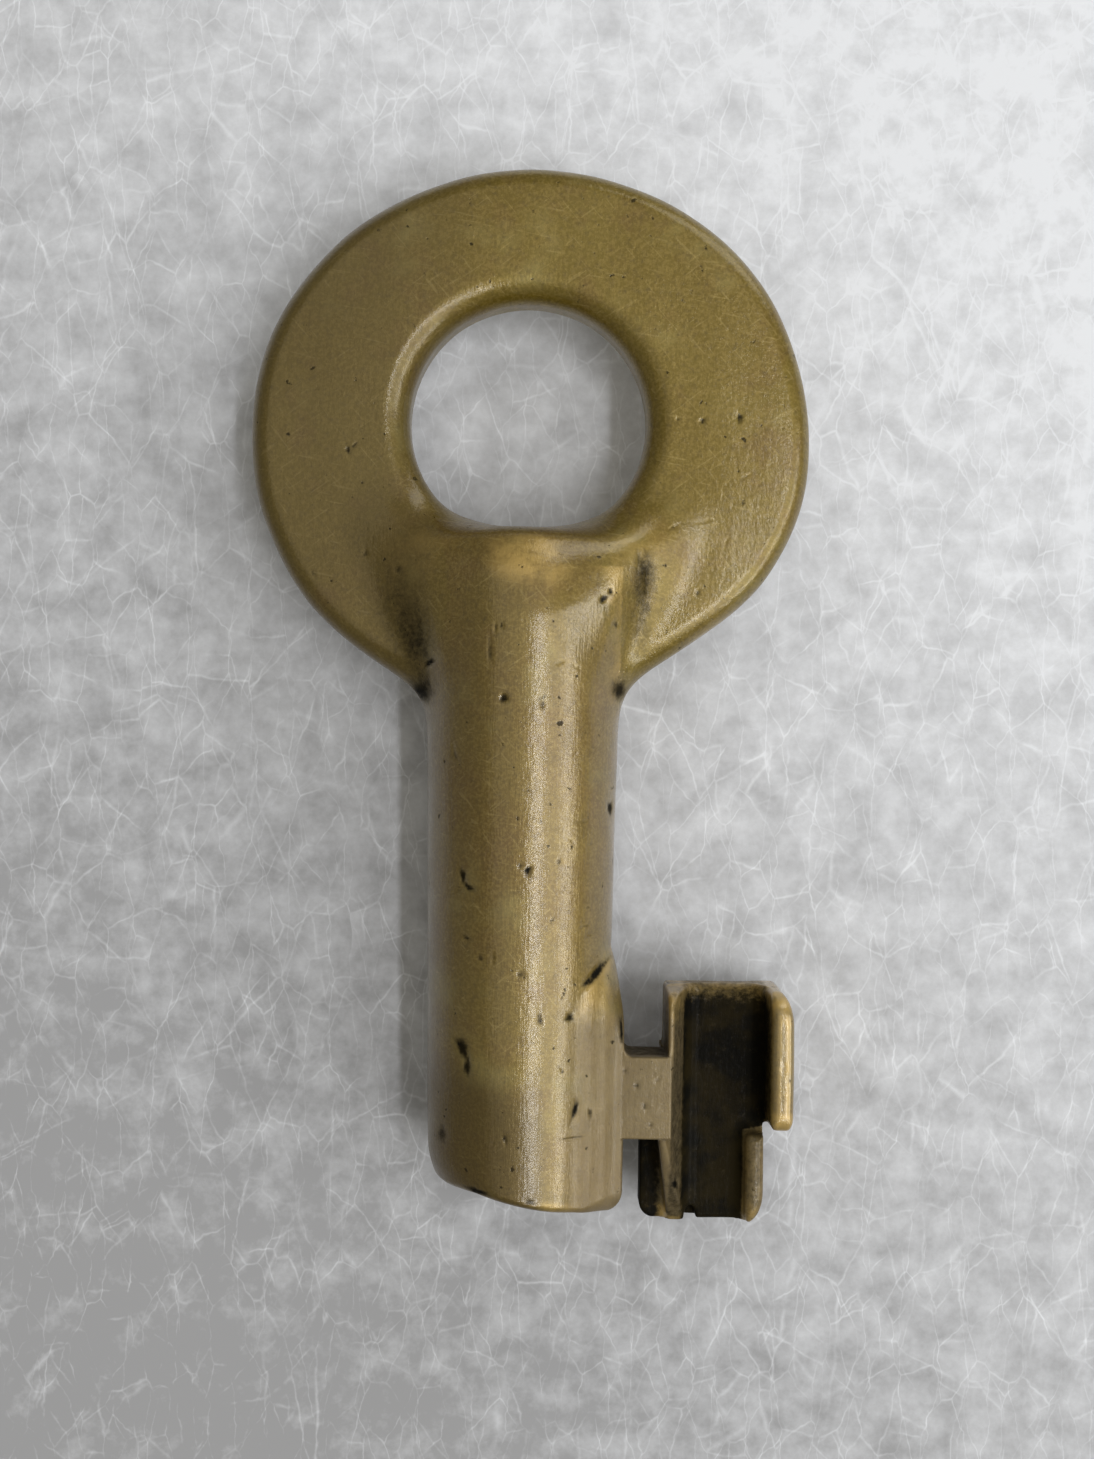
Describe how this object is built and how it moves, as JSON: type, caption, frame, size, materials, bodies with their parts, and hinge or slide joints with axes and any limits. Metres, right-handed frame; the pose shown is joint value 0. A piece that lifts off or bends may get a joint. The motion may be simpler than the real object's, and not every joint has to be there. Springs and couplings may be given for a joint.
{
  "type": "railroad switch key",
  "caption": "Hollow-barrel brass switch key: round bow with a ring hole, drilled tapering barrel, and a side bit with a channelled head.",
  "frame": {"origin": "centre of the barrel's mouth, on the bore's axis", "axes": "+Y up the barrel to the bow, +X towards the bit, +Z out of the pictured front"},
  "size_m": [0.028, 0.0529, 0.0096],
  "materials": {
    "bow_brass": "worn smooth, olive-brown patina",
    "barrel_brass": "worn bright along the crest, nicked, brown patina",
    "bit_brass": "worn edges, dark tarnish in the channel",
    "braze_filler": "dark patina"
  },
  "bodies": {
    "root": {"bow": "bow_brass", "barrel": "barrel_brass", "bit": "bit_brass", "bow_braze": "braze_filler", "bit_braze": "braze_filler"}
  },
  "joints": []
}
